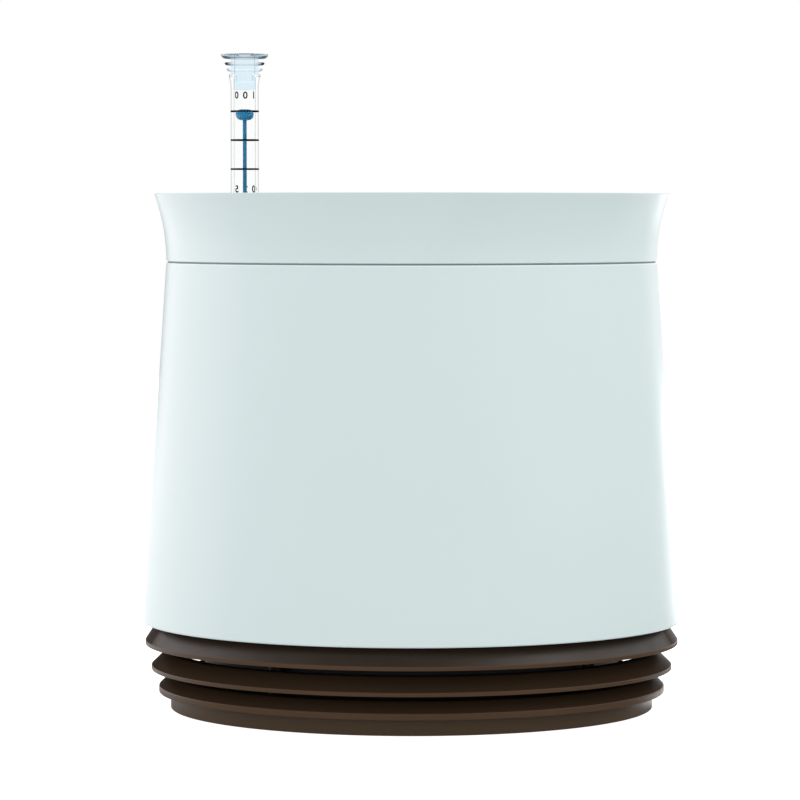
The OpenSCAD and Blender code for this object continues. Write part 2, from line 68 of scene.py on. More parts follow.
FOOT_R, FOOT_Z, TRAY_WALL_Z = extent("base_tray")
LOWER_LIP_R, SKIRT_Z, LOWER_TOP_Z = extent("lower_louvre")
MIDDLE_LIP_R, MIDDLE_LIP_Z, MIDDLE_TOP_Z = extent("middle_louvre")
UPPER_LIP_R, UPPER_LIP_Z, UPPER_TOP_Z = extent("upper_louvre")
SHELL_LOW_R, SHELL_LOW_Z, SEAM_Z = extent("outer_shell")
RIM_R, _, RIM_Z = extent("rim_collar")
HANGER_R, HANGER_Z, _ = extent("hanger_ring")
LINER_TOP_R, LEDGE_TOP_Z, LINER_TOP_Z = extent("inner_pot")
FLANGE_R, _, FLANGE_TOP_Z = extent("pot_flange")
_, LEDGE_Z, _ = extent("separator_ledge")
TANK_R, TANK_Z, TANK_TOP_Z = extent("water_tank")
_, _, SEPARATOR_TOP_Z = extent("separator")
BASKET_RIM_R, BASKET_Z, BASKET_TOP_Z = extent("wick_basket")
GUIDE_RIM_R, GUIDE_Z, GUIDE_TOP_Z = extent("gauge_guide", GAUGE_AXIS.x)
MOUTH_R, TUBE_Z, TUBE_TOP_Z = extent("gauge_tube", GAUGE_AXIS.x)
TUBE_R, TUBE_FOOT_Z, TUBE_FOOT_TOP_Z = extent("gauge_foot", GAUGE_AXIS.x)
STOPPER_R, PLUG_Z, STOPPER_TOP_Z = extent("gauge_cap", GAUGE_AXIS.x)
FLOAT_R, FLOAT_Z, FLOAT_TOP_Z = extent("gauge_float", GAUGE_AXIS.x)
STEM_R, STEM_Z, STEM_TOP_Z = extent("gauge_stem", GAUGE_AXIS.x)
BEAD_R, BEAD_Z, BEAD_TOP_Z = extent("indicator_head", GAUGE_AXIS.x)

# Clearances, and how far a cutter runs past what it cuts
SNUG, LOOSE, OVERCUT = 0.05, 0.3, 1.0
ROUND_END = 0.49

# Tray, posts and blades
FOOT_WALL, FLOOR_LIFT = 3.2, 3.0
HUB_IN_R, HUB_R, HUB_TOP_Z = 28.5, 31.5, FLOOR_LIFT + 1.0
RIB_COUNT, RIB_T, RIB_Z, RIB_TOP_Z = 8, 2.0, 0.6, FLOOR_LIFT + 0.5
RIB_FROM_R, RIB_TO_R = HUB_R - 1.4, FOOT_R - FOOT_WALL + 1.0
BOSS_R, BOSS_TOP_Z, POST_GAP = 3.2, TRAY_WALL_Z - 0.2, 1.1
SCREW_BORE_R, SCREW_HEAD_R = 1.7, 3.1
POST_R = TANK_R + POST_GAP + BOSS_R
POST_COUNT, FIRST_POST_DEGREES = 4, -127.2
POST_TURNS = [math.radians(FIRST_POST_DEGREES + 360 / POST_COUNT * i) for i in range(POST_COUNT)]
BLADE_T, LIP_DEPTH = 1.9, 0.25
LOWER_LIP_Z, LOWER_LIP_T, SKIRT_T = TRAY_WALL_Z + 0.2, 3.3, 1.2
MIDDLE_BLADE_W, MIDDLE_FLANGE_W = 7.5, 5.0
UPPER_FACE_W, UPPER_FACE_WALL = 6.1, 1.5
RING_T, RING_LAP, RING_W, RING_SCREW_SHARE = 2.2, 1.2, 11.6, 0.42

# Shell, collar and hanger
SKIN, HANGER_CLEAR = 2.6, 0.4
SEAM_GAP, SEAM_DEPTH, EDGE_ROUND = 0.8, 0.8, 0.45
SHELL_RING_T, SHELL_RIB_W, SHELL_RIB_H = 2.4, 1.6, 3.0
SEAM_R = HANGER_R + HANGER_CLEAR + SKIN
SHELL_TOP_Z = SEAM_Z - SEAM_GAP
SHELL_TAPER = (SHELL_LOW_R - SEAM_R) / (SHELL_TOP_Z - SHELL_LOW_Z)
SPIGOT_IN_R = HANGER_R - SKIN

# Inner pot, tank, basket and guide
TANK_WALL, TANK_CHAMFER = 1.8, 2.0
LINER_WALL, LINER_LOW_R, LEDGE_IN_R = 2.2, TANK_R - 2.8, TANK_R - 7.4
SNAP_R, SNAP_H, SNAP_SLOPE = TANK_R - TANK_WALL - 0.2, 1.4, 0.4
SLOT_COUNT, SLOT_TIERS, SLOT_W, SLOT_GAP = 44, 3, 3.2, 9.0
SLOT_Z, SLOT_TOP_Z = LEDGE_TOP_Z + 13.8, LINER_TOP_Z - 8.0
SLOT_CUT_R, SLOT_CUT_DEPTH = 104.5, 16.0
CATCH_Z, CATCH_T, CATCH_SLOPE = LEDGE_TOP_Z + SNAP_H + LOOSE, 0.35, 0.3
CATCH_TOP_Z = CATCH_Z + 1.8
SEAT_W, SEAT_T = 3.6, 1.2
BASKET_LOW_R, BASKET_TOP_R, BASKET_WALL, BASKET_RIM_W = 22.8, 30.555, 1.6, 5.0
BASKET_SLOTS, BASKET_SLOT_W, BASKET_SLOT_LEN = 12, 2.6, 60.0
BASKET_SLOT_MIDDLE_Z = BASKET_Z + 38.0
BASKET_CUT_R, BASKET_CUT_DEPTH = 27.0, 20.0
GUIDE_R, GUIDE_RIM_T = 9.2, 1.8

# Gauge tube, stopper and printed scale, with heights worked out from the tube's ends
TUBE_BORE_R, MOUTH_H = 5.5, 5.8
INLET_COUNT, INLET_W, INLET_LEN, INLET_MIDDLE_Z = 4, 2.4, 32.0, TUBE_Z + 20.0
INLET_CUT_R, INLET_CUT_DEPTH = 6.5, 6.0
RIBS_ABOVE_TUBE = ((8.05, 0.0, 0.8), (9.07, 2.6, 3.8), (10.09, 5.6, 6.8))
STOPPER_RIBS = [(reach, TUBE_TOP_Z + low, TUBE_TOP_Z + high) for reach, low, high in RIBS_ABOVE_TUBE]
RIB_SLANT = 0.5
STOPPER_DROP = 0.4
BRIM_LOW_R, BRIM_LOW_Z = 10.5, TUBE_TOP_Z + 8.9
BRIM_EDGE_R, BRIM_EDGE_Z = 11.7, TUBE_TOP_Z + 9.95
WELL_R, WELL_Z = 5.2, TUBE_TOP_Z + 0.9
PIT_R, PIT_Z = 4.2, TUBE_TOP_Z - 2.9
SCALE_MARKS = [TUBE_TOP_Z - drop for drop in (17.5, 31.9, 46.4, 60.9)]
MARK_HALF_H, PRINT_LIFT, PRINT_T = 0.4, 0.03, 0.1
NUMBER_SIZE, NUMBER_SPACING, NUMBER_WEIGHT, NUMBER_RELIEF = 4.9, 1.95, 0.11, 0.04
FULL_NUMBER_Z, LOW_NUMBER_Z = TUBE_TOP_Z - 9.4, TUBE_TOP_Z - 56.5

# Limits between the stopper's finishes
RIB_FROM_CORE_R, RIB_SHADE_FROM_Z = 7.1, STOPPER_RIBS[-1][1] - 0.2
CLEAR_BELOW_Z, CLEAR_IN_R, CLEAR_ABOVE_Z = TUBE_TOP_Z + 0.8, 4.5, TUBE_TOP_Z - MOUTH_H
CLEAR_WELL_R = 5.6

# Studio, in metres and degrees
FLOOR_HALF, FLOOR_Z, FLOOR_GLOW = 4.0, -0.0002, 0.88
CAMERA_PLACE, CAMERA_DOWN, CAMERA_LEFT = (0, -1.9856, 0.24531), 2.678, 0.1654
CAMERA_LENS, CAMERA_SENSOR = 179.73, 36


# Shared effects, one node group each

def effect(name, inputs, outputs):
    """A shader node group with these named sockets, and its input and output nodes."""
    group = bpy.data.node_groups.new(name, "ShaderNodeTree")
    for label, kind, value in inputs:
        socket = group.interface.new_socket(name=label, in_out="INPUT", socket_type=kind)
        if value is not None:
            socket.default_value = value
    for label, kind in outputs:
        group.interface.new_socket(name=label, in_out="OUTPUT", socket_type=kind)
    return group, group.nodes.new("NodeGroupInput"), group.nodes.new("NodeGroupOutput")


def noise(tree, place, scale, detail, rough=0.5):
    """Noise texture read at a place; scale may be a number or a socket."""
    node = tree.nodes.new("ShaderNodeTexNoise")
    node.inputs["Detail"].default_value = detail
    node.inputs["Roughness"].default_value = rough
    tree.links.new(place, node.inputs["Vector"])
    if isinstance(scale, (int, float)):
        node.inputs["Scale"].default_value = scale
    else:
        tree.links.new(scale, node.inputs["Scale"])
    return node.outputs["Fac"]


def spread(tree, value, low, high, to_low, to_high):
    """Maps a value from low..high to to_low..to_high; the ends may be numbers or sockets."""
    node = tree.nodes.new("ShaderNodeMapRange")
    for label, end in (("From Min", low), ("From Max", high), ("To Min", to_low), ("To Max", to_high)):
        if isinstance(end, (int, float)):
            node.inputs[label].default_value = end
        else:
            tree.links.new(end, node.inputs[label])
    tree.links.new(value, node.inputs["Value"])
    return node.outputs["Result"]


def blended(tree, factor, first, second):
    """Mixes two colours by a factor; colours may be values or sockets."""
    node = tree.nodes.new("ShaderNodeMix")
    node.data_type = "RGBA"
    tree.links.new(factor, node.inputs["Factor"])
    for label, colour in (("A", first), ("B", second)):
        socket = next(s for s in node.inputs if s.name == label and s.type == "RGBA")
        if isinstance(colour, tuple):
            socket.default_value = colour
        else:
            tree.links.new(colour, socket)
    return next(s for s in node.outputs if s.type == "RGBA")


def joined(tree, operation, first, second):
    """Two values put through a math operation; each may be a number or a socket."""
    node = tree.nodes.new("ShaderNodeMath")
    node.operation = operation
    for socket, value in zip(node.inputs, (first, second)):
        if isinstance(value, (int, float)):
            socket.default_value = value
        else:
            tree.links.new(value, socket)
    return node.outputs["Value"]


def product(tree, first, second):
    """Two values multiplied."""
    return joined(tree, "MULTIPLY", first, second)


def make_moulded_skin():
    """Moulded plastic: slow drift of tone and gloss, and the fine grain of a sparked mould."""
    group, start, end = effect(
        "moulded_skin",
        [("Vector", "NodeSocketVector", None), ("Tone", "NodeSocketColor", (0.8, 0.8, 0.8, 1)),
         ("Deep Tone", "NodeSocketColor", (0.7, 0.7, 0.7, 1)), ("Gloss", "NodeSocketFloat", 0.35),
         ("Matt", "NodeSocketFloat", 0.45), ("Drift Scale", "NodeSocketFloat", 14.0),
         ("Grain Scale", "NodeSocketFloat", 2200.0)],
        [("Color", "NodeSocketColor"), ("Roughness", "NodeSocketFloat"), ("Height", "NodeSocketFloat")])
    place = start.outputs["Vector"]
    drift = noise(group, place, start.outputs["Drift Scale"], 3)
    grain = noise(group, place, start.outputs["Grain Scale"], 2, 0.6)
    clouds = noise(group, place, 60, 4, 0.6)
    deeper = spread(group, drift, 0.3, 0.7, 0, 1)
    tone = blended(group, deeper, start.outputs["Tone"], start.outputs["Deep Tone"])
    gloss = spread(group, clouds, 0.3, 0.7, start.outputs["Gloss"], start.outputs["Matt"])
    group.links.new(tone, end.inputs["Color"])
    group.links.new(gloss, end.inputs["Roughness"])
    group.links.new(grain, end.inputs["Height"])
    return group


def make_floor_scuffs():
    """Mask of small scuffs that fade out above a height over the ground."""
    group, start, end = effect(
        "floor_scuffs",
        [("Vector", "NodeSocketVector", None), ("Reach", "NodeSocketFloat", 0.01),
         ("Scale", "NodeSocketFloat", 180.0)],
        [("Mask", "NodeSocketFloat")])
    place = start.outputs["Vector"]
    split = group.nodes.new("ShaderNodeSeparateXYZ")
    group.links.new(place, split.inputs["Vector"])
    fade = spread(group, split.outputs["Z"], 0.0, start.outputs["Reach"], 1, 0)
    specks = spread(group, noise(group, place, start.outputs["Scale"], 5, 0.7), 0.58, 0.68, 0, 1)
    group.links.new(product(group, fade, specks), end.inputs["Mask"])
    return group


def make_touch_marks():
    """Faint smears left by fingers, as a gloss value."""
    group, start, end = effect(
        "touch_marks",
        [("Vector", "NodeSocketVector", None), ("Clean", "NodeSocketFloat", 0.05),
         ("Smeared", "NodeSocketFloat", 0.16), ("Scale", "NodeSocketFloat", 90.0)],
        [("Roughness", "NodeSocketFloat")])
    smears = noise(group, start.outputs["Vector"], start.outputs["Scale"], 6, 0.65)
    gloss = spread(group, smears, 0.5, 0.75, start.outputs["Clean"], start.outputs["Smeared"])
    group.links.new(gloss, end.inputs["Roughness"])
    return group


SCUFF_REACH, SCUFF_STRENGTH = 0.0015, 0.35
SHEEN_FULL_TO, SHEEN_GONE_FROM, SHEEN_LEFT = 0.38, 0.78, 0.004
CLEAR_IOR = 1.03
MOULDED_SKIN = make_moulded_skin()
FLOOR_SCUFFS = make_floor_scuffs()
TOUCH_MARKS = make_touch_marks()


def new_finish(name, **settings):
    """A material with an empty Principled shader, its tree, shader and object coordinates."""
    finish = bpy.data.materials.new(name)
    finish.use_nodes = True
    tree = finish.node_tree
    shader = tree.nodes["Principled BSDF"]
    for label, value in settings.items():
        shader.inputs[label.replace("_", " ")].default_value = value
    place = tree.nodes.new("ShaderNodeTexCoord").outputs["Object"]
    return finish, tree, shader, place


def placed(tree, group, place, **values):
    """A node of a shared effect, read at a place, with its own values."""
    node = tree.nodes.new("ShaderNodeGroup")
    node.node_tree = group
    tree.links.new(place, node.inputs["Vector"])
    for label, value in values.items():
        node.inputs[label.replace("_", " ")].default_value = value
    return node


def rough_from(tree, shader, height, strength, depth_mm):
    """Bump from a height value into the shader's normal."""
    bump = tree.nodes.new("ShaderNodeBump")
    bump.inputs["Strength"].default_value = strength
    bump.inputs["Distance"].default_value = depth_mm * MM
    tree.links.new(height, bump.inputs["Height"])
    tree.links.new(bump.outputs["Normal"], shader.inputs["Normal"])


def moulding(name, tone, deep, gloss, matt, grain=2200.0, depth_mm=0.02, strength=0.25,
             scuff=None, sheen=None, **settings):
    """Moulded plastic; scuff colours marks near the ground, sheen is a gloss that fades seen edge-on."""
    finish, tree, shader, place = new_finish(name, **settings)
    skin = placed(tree, MOULDED_SKIN, place, Tone=tone, Deep_Tone=deep, Gloss=gloss, Matt=matt,
                  Grain_Scale=grain)
    colour = skin.outputs["Color"]
    if scuff:
        marks = placed(tree, FLOOR_SCUFFS, place, Reach=SCUFF_REACH)
        colour = blended(tree, product(tree, marks.outputs["Mask"], SCUFF_STRENGTH), colour, scuff)
    tree.links.new(colour, shader.inputs["Base Color"])
    tree.links.new(skin.outputs["Roughness"], shader.inputs["Roughness"])
    rough_from(tree, shader, skin.outputs["Height"], strength, depth_mm)
    if sheen:
        slant = tree.nodes.new("ShaderNodeLayerWeight")
        slant.inputs["Blend"].default_value = 0.5
        shader.inputs["Specular IOR Level"].default_value = sheen
        level = spread(tree, slant.outputs["Facing"], SHEEN_FULL_TO, SHEEN_GONE_FROM, sheen, SHEEN_LEFT)
        tree.links.new(level, shader.inputs["Specular IOR Level"])
    return finish


def clear_moulding(name, tone, deep, edge, edge_from, edge_to=1.0, clean=0.04, smeared=0.10):
    """See-through moulded plastic with finger smears that turns to another colour where seen edge-on."""
    finish, tree, shader, place = new_finish(name, Transmission_Weight=1.0, IOR=CLEAR_IOR)
    skin = placed(tree, MOULDED_SKIN, place, Tone=tone, Deep_Tone=deep, Drift_Scale=40.0)
    marks = placed(tree, TOUCH_MARKS, place, Clean=clean, Smeared=smeared)
    slant = tree.nodes.new("ShaderNodeLayerWeight")
    slant.inputs["Blend"].default_value = 0.5
    edge_on = spread(tree, slant.outputs["Facing"], edge_from, edge_to, 0, 1)
    tree.links.new(blended(tree, edge_on, skin.outputs["Color"], edge), shader.inputs["Base Color"])
    tree.links.new(marks.outputs["Roughness"], shader.inputs["Roughness"])
    return finish


def zinc_plate():
    """Zinc-plated screw steel with a cloudy passivated sheen."""
    finish, tree, shader, place = new_finish("zinc_plate", Metallic=1.0)
    skin = placed(tree, MOULDED_SKIN, place, Tone=(0.62, 0.63, 0.62, 1), Deep_Tone=(0.48, 0.49, 0.46, 1),
                  Gloss=0.22, Matt=0.42, Drift_Scale=420.0, Grain_Scale=3000.0)
    tree.links.new(skin.outputs["Color"], shader.inputs["Base Color"])
    tree.links.new(skin.outputs["Roughness"], shader.inputs["Roughness"])
    rough_from(tree, shader, skin.outputs["Height"], 0.15, 0.02)
    return finish


# Finishes: a tone and a deeper one, then roughness where the plastic is glossy and where it is matt

MINT_SATIN = moulding("mint_satin", (0.68, 0.79, 0.79, 1), (0.672, 0.781, 0.783, 1), 0.28, 0.30,
                      depth_mm=0.01, strength=0.12)
LINER_MATT = moulding("liner_matt", (0.66, 0.74, 0.74, 1), (0.63, 0.715, 0.715, 1), 0.48, 0.58,
                      grain=1500.0, depth_mm=0.03, strength=0.35)
# Painted highlight: a lighter copy of the shell's mint for its rounded top edge
MINT_PAINTED_HIGHLIGHT = moulding("mint_painted_highlight", (0.90, 0.94, 0.94, 1), (0.88, 0.92, 0.92, 1), 0.30, 0.36)
# Painted shade: a dark mint for the faces of the seam's groove
SEAM_PAINTED_SHADE = moulding("seam_painted_shade", (0.24, 0.315, 0.32, 1), (0.225, 0.30, 0.305, 1), 0.55, 0.65)
BROWN_SATIN = moulding("brown_satin", (0.0355, 0.0220, 0.0125, 1), (0.032, 0.0198, 0.0115, 1), 0.30, 0.38,
                       Specular_IOR_Level=0.002)
# Painted shade: a darker copy of the blades' brown for the upper blade, with a sheen that fades seen
# edge-on
BROWN_FACE_PAINTED_SHADE = moulding("brown_face_painted_shade", (0.0306, 0.0189, 0.0111, 1), (0.0282, 0.0174, 0.0101, 1), 0.32, 0.40,
                      sheen=0.36)
BROWN_FOOT = moulding("brown_foot", (0.078, 0.0485, 0.025, 1), (0.073, 0.0455, 0.0235, 1), 0.30, 0.38,
                      scuff=(0.12, 0.095, 0.075, 1), Specular_IOR_Level=0.18)
# Painted highlight: a lighter copy of the blades' brown for their upright lips
BROWN_LIP_PAINTED_HIGHLIGHT = moulding("brown_lip_painted_highlight", (0.076, 0.0425, 0.0220, 1), (0.070, 0.0390, 0.0205, 1), 0.34, 0.42,
                     Specular_IOR_Level=0.14)
BROWN_INNER = moulding("brown_inner", (0.028, 0.017, 0.010, 1), (0.023, 0.014, 0.008, 1), 0.42, 0.52,
                       grain=1500.0, depth_mm=0.03, strength=0.35, Specular_IOR_Level=0.2)
TANK_SLATE = moulding("tank_slate", (0.012, 0.0135, 0.0155, 1), (0.010, 0.0115, 0.0135, 1), 0.40, 0.50,
                      grain=1500.0, depth_mm=0.03, strength=0.35, Specular_IOR_Level=0.2)
POINTER_BLUE = moulding("pointer_blue", (0.0185, 0.167, 0.330, 1), (0.016, 0.157, 0.313, 1), 0.26, 0.34,
                        Specular_IOR_Level=0.25)
# Painted light: a lighter copy of the stem's blue for the bead, against the shade it sits in
BEAD_BLUE_PAINTED_LIGHT = moulding("bead_blue_painted_light", (0.025, 0.215, 0.42, 1), (0.022, 0.203, 0.40, 1), 0.26, 0.34,
                     Specular_IOR_Level=0.25)
FLOAT_FOAM = moulding("float_foam", (0.86, 0.86, 0.81, 1), (0.80, 0.80, 0.74, 1), 0.72, 0.85,
                      grain=900.0, depth_mm=0.12, strength=0.6)
SCALE_INK = moulding("scale_ink", (0.004, 0.004, 0.005, 1), (0.008, 0.008, 0.009, 1), 0.80, 0.95,
                     Specular_IOR_Level=0.0)
ZINC_PLATE = zinc_plate()

# Clear finishes: a tone, a deeper one, the colour seen edge-on and how edge-on that starts

TUBE_CLEAR = clear_moulding("tube_clear", (0.99, 0.997, 0.993, 1), (0.98, 0.99, 0.985, 1),
                            (0.16, 0.23, 0.20, 1), 0.52, clean=0.0, smeared=0.04)
STOPPER_BLUE = clear_moulding("stopper_blue", (0.755, 0.877, 0.977, 1), (0.745, 0.87, 0.972, 1),
                              (0.30, 0.42, 0.52, 1), 0.7)
STOPPER_RIB = clear_moulding("stopper_rib", (0.82, 0.91, 0.97, 1), (0.80, 0.90, 0.96, 1),
                             (0.01, 0.03, 0.04, 1), 0.40)
# Painted shade: a copy of the rib finish that turns dark sooner, for the top rib and the brim's underside
STOPPER_RIB_PAINTED_SHADE = clear_moulding("stopper_rib_painted_shade", (0.82, 0.91, 0.97, 1), (0.80, 0.90, 0.96, 1),
                                 (0.01, 0.03, 0.04, 1), 0.22, edge_to=0.55)
STOPPER_PLUG = clear_moulding("stopper_plug", (0.75, 0.88, 0.972, 1), (0.74, 0.87, 0.967, 1),
                              (0.20, 0.31, 0.42, 1), 0.7)
STOPPER_RIM = clear_moulding("stopper_rim", (0.26, 0.35, 0.42, 1), (0.24, 0.33, 0.40, 1),
                             (0.80, 0.90, 0.95, 1), 0.2)


# Mesh makers

def turned(steps_list, turns=POT_STEPS, axis=None):
    """A solid turned from half-section steps in millimetres.

    A step is (radius, height) or (radius, height, rounding), or a dict with the centre, turn in degrees,
    count and rounding of an arc that carries on from the step before.
    """
    bm = bmesh.new()
    ring = []
    roundings = {}
    for step in steps_list:
        if isinstance(step, dict):
            centre = (step["centre"][0] * MM, 0, step["centre"][1] * MM)
            tip = ring[-1]
            angle = math.radians(step["turn"]) / step["count"]
            for _ in range(step["count"]):
                made = bmesh.ops.spin(bm, geom=[tip], cent=centre, axis=(0, 1, 0), angle=angle, steps=1)
                tip = next(e for e in made["geom_last"] if isinstance(e, bmesh.types.BMVert))
                ring.append(tip)
            if step.get("rounding"):
                roundings[tip] = step["rounding"]
        else:
            corner = bm.verts.new((step[0] * MM, 0, step[1] * MM))
            ring.append(corner)
            if len(step) == 3:
                roundings[corner] = step[2]
    bm.faces.new(ring)
    for corner, rounding in roundings.items():
        bmesh.ops.bevel(bm, geom=[corner], offset=rounding * MM, offset_type="OFFSET",
                        segments=ROUND_STEPS, profile=0.5, affect="VERTICES", material=-1)
    bmesh.ops.delete(bm, geom=bm.faces[:], context="FACES_ONLY")
    on_axis = [e for e in bm.edges if all(v.co.x < TOUCHING for v in e.verts)]
    bmesh.ops.delete(bm, geom=on_axis, context="EDGES")
    bmesh.ops.spin(bm, geom=bm.verts[:] + bm.edges[:], cent=(0, 0, 0), axis=(0, 0, 1), angle=math.tau,
                   steps=turns, use_merge=True)
    bmesh.ops.remove_doubles(bm, verts=bm.verts[:], dist=TOUCHING)
    bmesh.ops.recalc_face_normals(bm, faces=bm.faces[:])
    if axis is not None:
        bmesh.ops.translate(bm, vec=axis, verts=bm.verts[:])
    return bm


def bar(bm, size, centre, turn=0.0, ease=0.0, ease_along=None, segments=2):
    """Adds a box in millimetres, eased on all edges or on those along one axis, then turned about Z."""
    made = bmesh.ops.create_cube(bm, size=1.0)["verts"]
    bmesh.ops.scale(bm, vec=Vector(size) * MM, verts=made)
    if ease:
        edges = {e for v in made for e in v.link_edges}
        if ease_along is not None:
            edges = {e for e in edges if abs((e.verts[0].co - e.verts[1].co)[ease_along]) > TOUCHING}
        eased = bmesh.ops.bevel(bm, geom=list(edges), offset=ease * MM, offset_type="OFFSET",
                                segments=segments, profile=0.5, affect="EDGES", material=-1)
        made = list({v for f in eased["faces"] for v in f.verts} | {v for v in made if v.is_valid})
        made = list({v for w in made for f in w.link_faces for v in f.verts})
    bmesh.ops.translate(bm, vec=Vector(centre) * MM, verts=made)
    bmesh.ops.rotate(bm, verts=made, cent=(0, 0, 0), matrix=Matrix.Rotation(turn, 3, "Z"))


def pin(bm, radius, low, high, centre, segments=32):
    """Adds a plain upright cylinder in millimetres."""
    made = bmesh.ops.create_cone(bm, cap_ends=True, segments=segments, radius1=radius * MM,
                                 radius2=radius * MM, depth=(high - low) * MM)["verts"]
    bmesh.ops.translate(bm, vec=(centre[0] * MM, centre[1] * MM, (low + high) / 2 * MM), verts=made)


def around(radius, angle):
    """Point on a circle about the pot's axis, in millimetres."""
    return radius * math.cos(angle), radius * math.sin(angle)


def as_object(name, bm):
    """An object at the origin that holds the mesh."""
    mesh = bpy.data.meshes.new(name)
    bm.to_mesh(mesh)
    bm.free()
    holder = bpy.data.objects.new(name, mesh)
    scene.collection.objects.link(holder)
    return holder


def carved(bm, tools):
    """The mesh after tools, a list of (operation, bmesh), have been joined to it or cut from it."""
    body = as_object("blank", bm)
    helpers = []
    for operation, tool_bm in tools:
        bmesh.ops.recalc_face_normals(tool_bm, faces=tool_bm.faces[:])
        helper = as_object("tool", tool_bm)
        helpers.append(helper)
        step = body.modifiers.new(operation.lower(), "BOOLEAN")
        step.operation = operation
        step.solver = "EXACT"
        step.object = helper
    bpy.context.view_layer.update()
    shaped = body.evaluated_get(bpy.context.evaluated_depsgraph_get())
    result = bmesh.new()
    result.from_mesh(shaped.to_mesh())
    shaped.to_mesh_clear()
    for spent in (body, *helpers):
        mesh = spent.data
        bpy.data.objects.remove(spent)
        bpy.data.meshes.remove(mesh)
    bmesh.ops.remove_doubles(result, verts=result.verts[:], dist=TOUCHING)
    return result


def piece(name, bm, finish, body, node, even=True):
    """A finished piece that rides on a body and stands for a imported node."""
    made = as_object(name, bm)
    made.data.materials.append(finish)
    made.data.polygons.foreach_set("use_smooth", [True] * len(made.data.polygons))
    made.data.set_sharp_from_angle(angle=SHARP_TURN)
    if even:
        steady = made.modifiers.new("even_faces", "WEIGHTED_NORMAL")
        steady.keep_sharp = True
    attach(made, body)
    if node:
        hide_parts(node)
    return made


# Base: tray, blades and shell

def lip_painted_highlight(blade, lip_r):
    """Gives the upright band at a blade's outer edge a lighter copy of the brown, as a painted highlight.
    """
    blade.data.materials.append(BROWN_LIP_PAINTED_HIGHLIGHT)
    for face in blade.data.polygons:
        if math.hypot(face.center.x, face.center.y) > (lip_r - LIP_DEPTH) * MM:
            face.material_index = 1


def make_foot_tray():
    """Floor on a foot ring, with a low wall, ribs underneath and bosses for the long screws."""
    foot_in_r = FOOT_R - FOOT_WALL
    wall_in_r = FOOT_R - FOOT_WALL / 2
    tray = turned([(0, FLOOR_LIFT), (foot_in_r, FLOOR_LIFT, 0.8), (foot_in_r, FOOT_Z, 0.5),
                   (FOOT_R, FOOT_Z, 0.35), (FOOT_R, TRAY_WALL_Z, 0.2), (wall_in_r, TRAY_WALL_Z, 0.2),
                   (wall_in_r, TANK_Z, 0.3), (0, TANK_Z)])
    ribs = bmesh.new()
    rib_size = (RIB_TO_R - RIB_FROM_R, RIB_T, RIB_TOP_Z - RIB_Z)
    rib_centre = ((RIB_FROM_R + RIB_TO_R) / 2, 0, (RIB_Z + RIB_TOP_Z) / 2)
    for i in range(RIB_COUNT):
        bar(ribs, rib_size, rib_centre, math.tau * (i + 0.5) / RIB_COUNT, ease=0.3)
    hub = turned([(HUB_IN_R, RIB_Z, 0.3), (HUB_R, RIB_Z, 0.3), (HUB_R, HUB_TOP_Z), (HUB_IN_R, HUB_TOP_Z)],
                 HUB_STEPS)
    bosses = bmesh.new()
    holes = bmesh.new()
    bores = bmesh.new()
    for turn in POST_TURNS:
        spot = around(POST_R, turn)
        pin(bosses, BOSS_R, FLOOR_LIFT + OVERCUT, BOSS_TOP_Z, spot)
        pin(holes, SCREW_HEAD_R, FOOT_Z - OVERCUT, TANK_Z, spot)
        pin(bores, SCREW_BORE_R, TANK_Z - OVERCUT, BOSS_TOP_Z + OVERCUT, spot)
    tray = carved(tray, [("UNION", ribs), ("UNION", hub), ("UNION", bosses), ("DIFFERENCE", holes),
                         ("DIFFERENCE", bores)])
    piece("foot_tray", tray, BROWN_FOOT, "base", "base_tray")


def make_lower_blade():
    """Blade that slopes out from the tray's wall, with a skirt that sits inside it."""
    lip_top_z = LOWER_LIP_Z + LOWER_LIP_T
    rise = LOWER_TOP_Z - lip_top_z
    skirt_r = FOOT_R - FOOT_WALL / 2 - SNUG
    skirt_in_r = skirt_r - SKIRT_T
    blade = turned([(FOOT_R, TRAY_WALL_Z, 0.2), (FOOT_R, LOWER_LIP_Z + rise, 0.6),
                    (LOWER_LIP_R, LOWER_LIP_Z, 0.8), (LOWER_LIP_R, lip_top_z, 0.35),
                    (FOOT_R, LOWER_TOP_Z, 0.9), (skirt_in_r, LOWER_TOP_Z, 0.6), (skirt_in_r, SKIRT_Z, 0.3),
                    (skirt_r, SKIRT_Z, 0.3), (skirt_r, TRAY_WALL_Z, 0.2)])
    made = piece("lower_blade", blade, BROWN_SATIN, "base", "lower_louvre")
    lip_painted_highlight(made, LOWER_LIP_R)


def make_middle_blade():
    """Sloped blade with a flat flange inside it."""
    blade_in_r = MIDDLE_LIP_R - MIDDLE_BLADE_W
    flange_in_r = blade_in_r - MIDDLE_FLANGE_W
    under_z = MIDDLE_TOP_Z - BLADE_T
    blade = turned([(MIDDLE_LIP_R, MIDDLE_LIP_Z, 0.3), (MIDDLE_LIP_R, MIDDLE_LIP_Z + BLADE_T, 0.3),
                    (blade_in_r, MIDDLE_TOP_Z, 0.7), (flange_in_r, MIDDLE_TOP_Z, 0.4),
                    (flange_in_r, under_z, 0.4), (blade_in_r, under_z, 0.6)])
    made = piece("middle_blade", blade, BROWN_SATIN, "base", "middle_louvre")
    lip_painted_highlight(made, MIDDLE_LIP_R)


